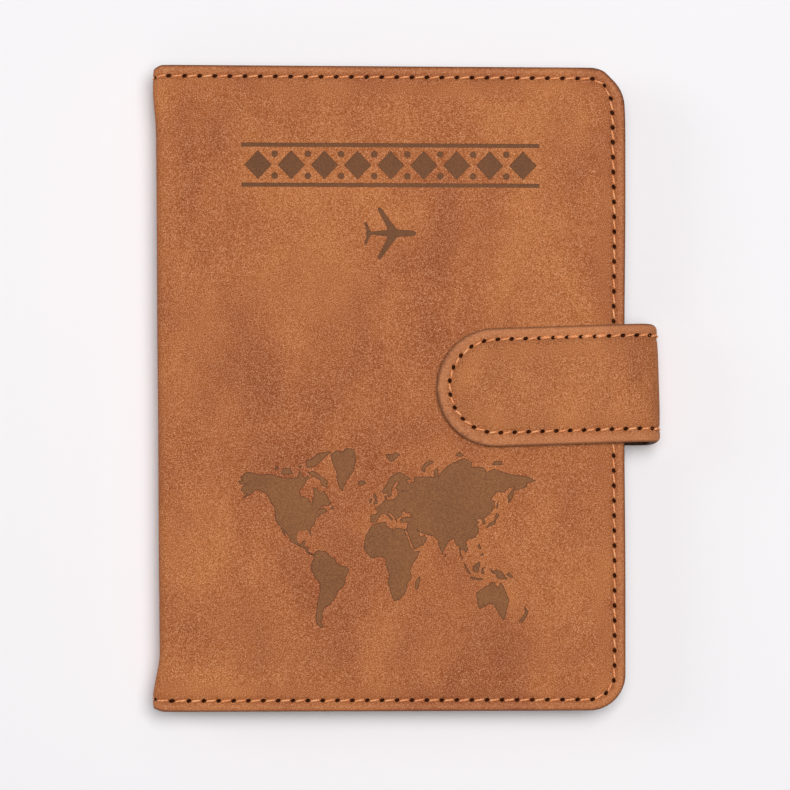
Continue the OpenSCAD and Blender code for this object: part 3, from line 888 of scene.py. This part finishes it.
def lining(name, place, flip):
    half = HEAD_Y - LINING_INSET
    across = steps(INNER_FOLD_U, INNER_CX - INNER_ARC, 1) + steps(INNER_CX - INNER_ARC, INNER_CX, 0.2)
    across += [INNER_CX, INNER_CX - INNER_ARC, INNER_CX + 1, INNER_CX + 2]
    across += steps(INNER_CX + 2, FORE_X, PANEL_LINE)
    bm = flat_slab(INNER_FOLD_U, FORE_X - 0.05, -half, half, LINING_T - 0.02, across,
                   steps(-half, half, PANEL_LINE), cover_corners(LINING_INSET), edge_r=0.12,
                   square_left=True)
    piece = new_object(name, bm, LINING)
    carve(piece, needle_holes(hole for hole in inner_row if hole[0] > INNER_CX + 1))
    shape(piece, place, flip=flip)
    return piece


front_lining = lining("front_lining_cloth", inner_fold, True)
back_lining = lining("back_lining_cloth", mirrored(inner_fold), False)
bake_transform(front_lining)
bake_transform(back_lining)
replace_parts(front_lining, "front_lining", "spine_lining")
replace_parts(back_lining, "back_lining")


# ------------ pockets

def inside_thread(name, rows, body, surface, side, lift=lambda x, y: 0):
    """Thread on an inside face at the height that surface gives; side is 1 where the face looks up."""
    thread = sew(name, rows, lift)
    shape(thread, lambda x, y, z: (*settle(x, y), surface(x, y) + side * z), flip=side < 0, sharp=80)
    belongs(thread, body, "thread")
    return thread


def pocket(name, node):
    """A card pocket: a panel sewn on three sides, with a row of stitches under its free edge."""
    low, high = box_mm(node)
    left, right, half, top_y = CREASE_X + 1.0, FORE_X - SLIP, HEAD_Y - SLIP, high.y
    row_y = top_y - 1.6
    lines = steps(0, PANEL_BAND, PANEL_STEP)
    across = [right - d for d in lines] + steps(left, right - PANEL_BAND, PANEL_LINE)
    along = [d - half for d in lines] + [top_y - d for d in (0.6, 1.2, 1.8, 2.4, 3.2)]
    along += steps(PANEL_BAND - half, top_y - 3.2, PANEL_LINE)
    bm = flat_slab(left, right, -half, top_y, high.z - low.z - 0.15, across, along,
                   cover_corners(SLIP, (-1,)), edge_r=0.14)
    piece = new_object(name, bm, POCKET)
    row = straight_row((left + 2, row_y), (right - 2.6, row_y))
    carve(piece, needle_holes(row + [hole for hole in inner_row if hole[1] < top_y - 2.5]))

    def dip(u, y):
        return -0.1 * bell(y - row_y, 0.5)

    mark(piece, "worn", lambda u, y, w: bell(top_y - y, 0.6))
    # Painted shade along the sewn row.
    mark(piece, "painted_seam_shade", lambda u, y, w: 0.8 * bell(y - row_y, 0.6))

    def lay(u, y, w):
        if w < -0.3:
            w -= 0.15 * (1 - smoothstep(3, 4, min(right - u, u - left, y + half)))
        else:
            w += dip(u, y)
        return *settle(u, y), low.z - w

    shape(piece, lay, flip=True)
    belongs(piece, "front_cover", "pocket_leather", node)
    return inside_thread(name + "_thread", [row], "front_cover", lambda x, y: low.z, -1, dip)


pocket("hidden_pocket_panel", "hidden_pocket")
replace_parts(pocket("top_card_slot", "card_slot_top"), "slot_stitches")
pocket("middle_card_slot", "card_slot_middle")
pocket("bottom_card_slot", "card_slot_bottom")


def sleeve():
    """The passport sleeve on the back cover, open towards the spine, with a thumb notch."""
    left, right, half = sleeve_low.x, FORE_X - SLIP, HEAD_Y - SLIP
    row_x, notch_r = left + 1.6, 9
    lines = steps(0, PANEL_BAND, PANEL_STEP)
    across = [right - d for d in lines] + [left + d for d in (0.6, 1.2, 1.8, 2.4)]
    across += steps(left + 2.4, right - PANEL_BAND, PANEL_LINE)
    along = [side * (half - d) for side in (1, -1) for d in lines]
    along += steps(PANEL_BAND - half, half - PANEL_BAND, PANEL_LINE)
    bm = flat_slab(left, right, -half, half, 0.8, across, along, cover_corners(SLIP), edge_r=0.16)
    piece = new_object("sleeve_panel", bm, POCKET)
    notch = bmesh.new()
    bmesh.ops.create_cone(notch, cap_ends=True, segments=48, radius1=notch_r, radius2=notch_r, depth=4)
    bmesh.ops.translate(notch, vec=(left, 0, 0), verts=notch.verts)
    rows = [straight_row((row_x, side * 11), (row_x, side * (half - SEAM_INSET))) for side in (1, -1)]
    through = rows[0] + rows[1] + [hole for hole in inner_row if hole[0] > left + 2.5]
    carve(piece, new_object("thumb_notch", notch, POCKET), needle_holes(through, 0.45))
    mark(piece, "worn",
         lambda u, y, w: max(bell(u - left, 0.6), bell(math.hypot(u - left, y) - notch_r, 0.5)))
    # Painted shade along the sewn rows.
    mark(piece, "painted_seam_shade", lambda u, y, w: 0.8 * bell(u - left - 1.6, 0.6) * (abs(y) > 10))

    def lay(u, y, w):
        if w < -0.4:
            w -= 0.28 * (1 - smoothstep(3, 4, min(right - u, half - abs(y))))
        return *settle(u, y), sleeve_high.z + w

    shape(piece, lay)
    belongs(piece, "back_cover", "pocket_leather", "passport_sleeve")
    inside_thread("sleeve_thread", rows, "back_cover", lambda x, y: sleeve_high.z, 1)


def sim_patch():
    """The small patch for a SIM card, sewn on three sides."""
    low, high = box_mm("sim_pocket")
    corners = [((low.x + 2, low.y + 2), 2, (-1, -1)), ((high.x - 2, low.y + 2), 2, (1, -1))]
    bm = flat_slab(low.x, high.x, low.y, high.y, high.z - low.z - 0.02, steps(low.x, high.x, 3),
                   steps(low.y, high.y, 3), corners, edge_r=0.14)
    piece = new_object("sim_card_patch", bm, POCKET)
    left, right, foot, head = low.x + 1.2, high.x - 1.2, low.y + 1.2, high.y - 0.6
    path = [(left, head), (left, foot), (right, foot), (right, head)]
    rows = [straight_row(start, end, STRAP_PITCH) for start, end in zip(path, path[1:])]
    carve(piece, needle_holes(hole for row in rows for hole in row[:-1]))
    mark(piece, "worn", lambda u, y, w: bell(high.y - y, 0.5))
    mark(piece, "painted_seam_shade", lambda u, y, w: 0.0)
    shape(piece, lambda u, y, w: (*settle(u, y), low.z - w), flip=True)
    belongs(piece, "front_cover", "pocket_leather", "sim_pocket")
    inside_thread("sim_card_thread", rows, "front_cover", lambda x, y: low.z, -1)


sleeve()
sim_patch()


def sleeve_face(x, y):
    return sleeve_high.z if x > sleeve_low.x else sleeve_low.z


def pocket_face(x, y):
    """Height of the lowest panel at a point of the front cover's inside."""
    for node in ("card_slot_bottom", "card_slot_middle", "card_slot_top", "hidden_pocket"):
        low, high = box_mm(node)
        if y < high.y:
            return low.z
    return lining_low.z


inside_thread("back_inner_thread", [inner_row], "back_cover", sleeve_face, 1)
inside_thread("front_inner_thread", [inner_row], "front_cover", pocket_face, -1)


# ------------ strap

BEND_X = WALL_X - BEND_R
BEND_ARC = BEND_R * math.pi / 2
WALL_L = STRAP_TOP_Z - STRAP_LOW_Z - 2 * BEND_R
TIP_CX = TIP_X + STRAP_W / 2
UPPER_S = BEND_X                                    # flat X where the upper bend begins
LOWER_S = UPPER_S + BEND_ARC + WALL_L               # where the lower bend begins
END_S = LOWER_S + BEND_ARC + (BEND_X - FORE_X) + 2  # just inside the seam
MIDDLE_S = UPPER_S + BEND_ARC + WALL_L / 2
BULGE, EDGE_R = 0.25, 1.1           # how far the bend swells, and its corners' radius in plan
ROW_V = 0.25                        # how far the stitching's middle line lies off the strap's
ROW_R = STRAP_W / 2 - STRAP_INSET + 0.25


def strap_reach(s, v):
    """How far a point lies inside the strap's edge."""
    return STRAP_W / 2 - (math.hypot(s - TIP_CX, v) if s < TIP_CX else abs(v))


def strap_relief(s, v):
    d = strap_reach(s, v)
    sewn = -0.22 * bell(d - STRAP_INSET, 0.6) - 0.14 * bell(d, 1.0)
    slack = -0.03 - 0.03 * noise.noise(Vector((s / 9, v / 9, 8.1)))
    return sewn - 0.10 * (1 - smoothstep(3.4, 8, d)) + slack


def strap_lay(s, v, w):
    """Lays a flat point of the strap over the front, down past the fore-edge and back into the seam."""
    w += strap_relief(s, v) * smoothstep(-STRAP_LAYER, -0.5, w)
    lean = 1 - smoothstep(MIDDLE_S, LOWER_S + BEND_ARC, s)
    shift = TONGUE_Y + (TAB_Y - TONGUE_Y) * (1 - smoothstep(UPPER_S, LOWER_S + BEND_ARC, s))
    y = shift + v
    sideways = -v * math.sin(SLANT) * lean
    corner = max(0, abs(v) - (STRAP_W / 2 - EDGE_R))
    drawn_in = EDGE_R - math.sqrt(max(0, EDGE_R ** 2 - corner ** 2))
    bulge = BULGE - drawn_in * max(0, 1 + w / STRAP_T)      # the inner face keeps its straight edges
    if s < UPPER_S:
        y = shift - (UPPER_S - s) * math.sin(SLANT) + v * math.cos(SLANT)
        return UPPER_S - (UPPER_S - s) * math.cos(SLANT) + sideways, y, STRAP_TOP_Z + w
    s -= UPPER_S
    if s < BEND_ARC:
        a = s / BEND_R
        r = BEND_R + w
        return BEND_X + (r + bulge) * math.sin(a) + sideways, y, STRAP_TOP_Z - BEND_R + r * math.cos(a)
    s -= BEND_ARC
    if s < WALL_L:
        return WALL_X + w + bulge + sideways, y, STRAP_TOP_Z - BEND_R - s
    s -= WALL_L
    if s < BEND_ARC:
        a = s / BEND_R
        r = BEND_R + w
        return BEND_X + (r + bulge) * math.cos(a) + sideways, y, STRAP_LOW_Z + BEND_R - r * math.sin(a)
    s -= BEND_ARC
    skive = smoothstep(0.5, BEND_X - FORE_X + 1.5, s)
    middle = STRAP_LOW_Z + STRAP_T / 2
    z = STRAP_LOW_Z - w
    return BEND_X - s, y, middle + (z - middle) * (1 - 0.55 * skive)


def strap_slab(name, left, right, thick, material, tip, top=0.0):
    half = STRAP_W / 2
    dense = (0.3, 0.55, 0.8, 1.1, 1.45, 1.9, 2.5, 3.0, 3.5, 4.1, 5, 6.5, 8.5, 10.7)
    along = [side * (half - d) for side in (1, -1) for d in dense] + [0]
    across = steps(left, right, 1.0)
    if tip:
        across = [left + d for d in (0.4, 0.9, 1.5, 2.1, 2.7, 3.3, 4.0, 4.8, 5.8, 7, 8.4, 10)]
        across += steps(left + 10, right, 1.0)
    corners = [((TIP_CX, 0), half, (-1, side)) for side in (1, -1)] if tip else []
    bm = flat_slab(left, right, -half, half, thick, across, along, corners, edge_r=0.25,
                   square_left=not tip, square_right=tip)
    bmesh.ops.translate(bm, vec=(0, 0, top), verts=bm.verts)
    return new_object(name, bm, material)


def core_room():
    """The room in the tab for the stiffener and the magnet."""
    half = STRAP_W / 2 - STRAP_INSET - 1.15
    outline = [(TIP_CX + half * math.cos(a), half * math.sin(a))
               for a in (math.radians(90 + 7.5 * k) for k in range(25))]
    outline += [(BEND_X - 2, -half), (BEND_X - 2, half)]
    return cutter("core_room", [outline], -STRAP_LAYER - 0.4, -STRAP_LAYER + 0.4, STRAP_BACK)


def strap_seam(s):
    """Place and heading along the strap's stitching, from the seam round the tip and back."""
    run = END_S - TIP_CX
    if s < run:
        return END_S - s, ROW_V - ROW_R, math.pi
    s -= run
    if s < math.pi * ROW_R:
        a = -math.pi / 2 - s / ROW_R
        return TIP_CX + ROW_R * math.cos(a), ROW_V + ROW_R * math.sin(a), a - math.pi / 2
    return TIP_CX + (s - math.pi * ROW_R), ROW_V + ROW_R, 0.0


strap_row = holes_along(strap_seam, 2 * (END_S - TIP_CX) + math.pi * ROW_R, STRAP_PITCH)
# The end of the thread is locked by a second pass over the upper row
lock_row = [(x - 0.35, y + 0.2, h) for x, y, h in strap_row if y > ROW_V and 31 < x < 50 and h == 0.0]


def strap_worn(s, v, w):
    return 0.7 * (1 - smoothstep(1.2, 2.8, strap_reach(s, v))) if w > -0.5 else 0.0


# Painted shade along the strap's sewn valley.
def strap_painted_seam_shade(s, v, w):
    return 0.6 * bell(strap_reach(s, v) - STRAP_INSET, 0.7) if w > -0.5 else 0.0


# Dark edge paint round the strap's outline, with painted contact shadow.
def strap_edge_paint_and_shadow(s, v, w):
    return 0.85 * (1 - smoothstep(0.15, 0.5, strap_reach(s, v)))


def strap_part(kind, left, right, tip):
    outer = strap_slab(f"strap_{kind}_outer", left, right, STRAP_LAYER, STRAP, tip)
    inner = strap_slab(f"strap_{kind}_back", left, right, STRAP_LAYER - 0.02, STRAP_BACK, tip,
                       -STRAP_LAYER - 0.02)
    needles = needle_holes((hole for hole in strap_row if left + 0.65 < hole[0] < right - 0.65), 0.8)
    if tip:
        carve(outer, needles, core_room())
        carve(inner, core_room())
    else:
        carve(outer, needles)
    for name, value in (("worn", strap_worn), ("painted_seam_shade", strap_painted_seam_shade), ("edge", strap_edge_paint_and_shadow)):
        mark(outer, name, value)
    rows, current = [], []
    for hole in strap_row:
        if left - 0.1 <= hole[0] <= right + STRAP_PITCH * 0.5:
            current.append(hole)
        elif current:
            rows.append(current)
            current = []
    if current:
        rows.append(current)
    if tip:
        rows.append(lock_row)
    thread = sew(f"strap_{kind}_thread", rows, strap_relief)
    shape(outer, strap_lay)
    shape(inner, strap_lay)
    shape(thread, lambda x, y, z: strap_lay(x, y, z - strap_relief(x, y)), sharp=80)
    for piece, slot in ((outer, "strap_leather"), (inner, "strap_lining"), (thread, "thread")):
        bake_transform(piece)
    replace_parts(outer, f"strap_{kind}_leather")
    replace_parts(inner, f"strap_{kind}_lining")
    if tip:
        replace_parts(thread, "strap_stitches")
    else:
        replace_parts(outer, "strap_tongue")


strap_part("tab", TIP_X, MIDDLE_S, True)
strap_part("bend", MIDDLE_S, END_S, False)


# ------------ carried-over pieces

for node, material in (("back_foam", FOAM), ("front_foam", FOAM), ("back_board", BOARD),
                       ("front_board", BOARD), ("spine_strip", BOARD), ("strap_stiffener", BOARD),
                       ("steel_disc", STEEL), ("strap_magnet", NICKEL)):
    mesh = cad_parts[node].data
    mesh.materials.clear()
    mesh.materials.append(material)


# ------------ floor, light and camera

def floor():
    bm = bmesh.new()
    bmesh.ops.create_grid(bm, x_segments=1, y_segments=1, size=1.6)
    piece = new_object("floor", bm)
    f = Finish("pale_floor", 0.9)
    pale = f.ramp(f.noise(300), (0.3, srgb(243, 241, 243)), (0.7, srgb(245, 243, 245)))
    piece.data.materials.append(f.done(pale))
    piece.location.z = -0.0002


def soft_light(name, place, size, power, aim=(0, 0, 0)):
    data = bpy.data.lights.new(name, "AREA")
    data.shape = "RECTANGLE"
    data.size, data.size_y = size
    data.energy = power
    lamp = bpy.data.objects.new(name, data)
    lamp.location = place
    lamp.rotation_euler = (Vector(aim) - Vector(place)).to_track_quat("-Z", "Y").to_euler()
    scene.collection.objects.link(lamp)


floor()
soft_light("overhead_softbox", (0.09, 0.10, 1.05), (0.40, 0.40), 10.0)
soft_light("side_window", (-0.85, 0.25, 0.65), (0.5, 0.5), 1.4)
world = bpy.data.worlds.new("studio")
world.use_nodes = True
world.node_tree.nodes["Background"].inputs["Color"].default_value = (1.0, 0.985, 1.0, 1)
world.node_tree.nodes["Background"].inputs["Strength"].default_value = 0.12
scene.world = world
scene.view_settings.view_transform = "Standard"

VIEW_W = 0.1742                       # width of floor that the view takes in, at the cover's height
lens = bpy.data.cameras.new("overhead")
lens.lens = 150
lens.sensor_width = 36
camera = bpy.data.objects.new("overhead", lens)
camera.location = (0.0009, -0.0015, TOP_Z * MM + VIEW_W * lens.lens / lens.sensor_width)
scene.collection.objects.link(camera)
scene.camera = camera
